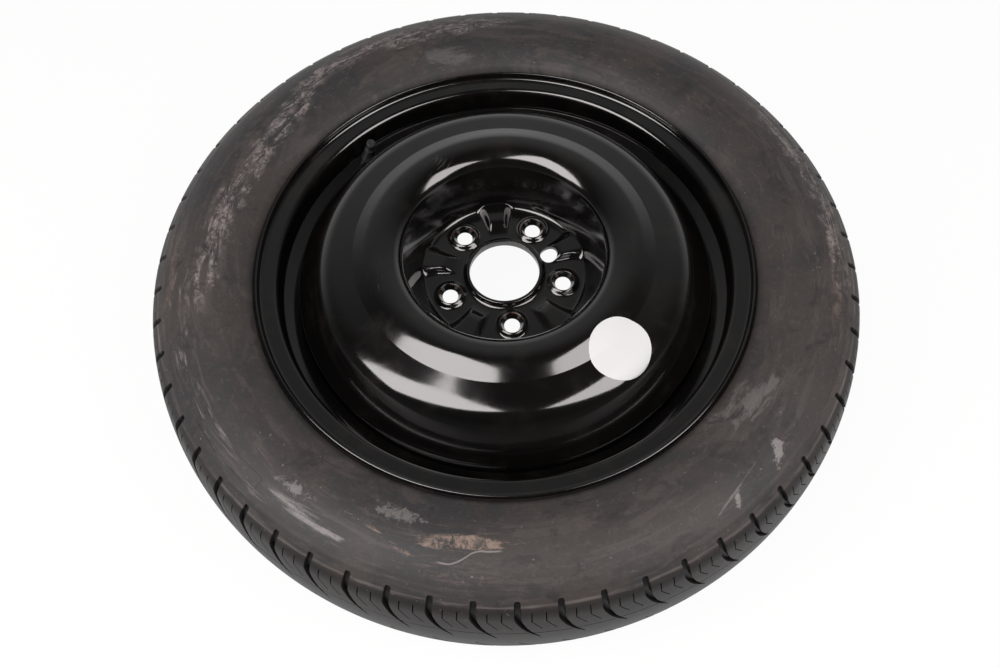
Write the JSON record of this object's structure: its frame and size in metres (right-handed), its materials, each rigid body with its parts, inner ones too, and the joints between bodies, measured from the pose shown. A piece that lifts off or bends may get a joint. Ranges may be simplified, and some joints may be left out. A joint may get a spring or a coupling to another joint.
{
  "type": "space saver spare wheel",
  "caption": "Narrow pressed-steel spare wheel with its temporary-use tyre, a domed disc with raised pads and conical nut seats, and a snap-in valve with core and cap.",
  "frame": {"origin": "on the wheel's axis, in the plane of the hub mounting face on the disc's inboard side", "axes": "+Z along the wheel's axis toward the outer face, the side that faces away from the car; +X to the right and -Y toward the camera in the source picture"},
  "size_m": [0.68, 0.68, 0.1662],
  "materials": {
    "tyre_rubber": "dusty black rubber",
    "black_paint": "semi-gloss black paint on steel",
    "weld": "painted weld bead",
    "valve_rubber": "matt black rubber",
    "brass": "machined brass",
    "seal_plastic": "white sealing ring",
    "spring_steel": "bright steel wire",
    "cap_plastic": "moulded black plastic",
    "label_film": "pale printed film, left without print"
  },
  "bodies": {
    "wheel": {"tyre": "tyre_rubber", "rim": "black_paint", "disc": "black_paint", "disc_welds": "weld", "valve_body": "valve_rubber", "valve_stem": "brass", "core_housing": "brass", "core_seal": "seal_plastic", "core_spring": "spring_steel", "label": "label_film"},
    "cap": {"valve_cap": "cap_plastic", "cap_seal": "valve_rubber"},
    "pin": {"core_pin": "spring_steel", "core_washer": "valve_rubber"}
  },
  "joints": [
    {"name": "cap_off", "type": "slide", "parent": "wheel", "child": "cap", "axis": [0.2068, -0.2296, 0.9511], "range_m": [0, 0.02]},
    {"name": "pin_press", "type": "slide", "parent": "wheel", "child": "pin", "axis": [-0.2068, 0.2296, -0.9511], "range_m": [0, 0.0015], "stiffness_N_per_m": 200, "springref_m": -0.001, "deforming": ["core_spring"]}
  ]
}
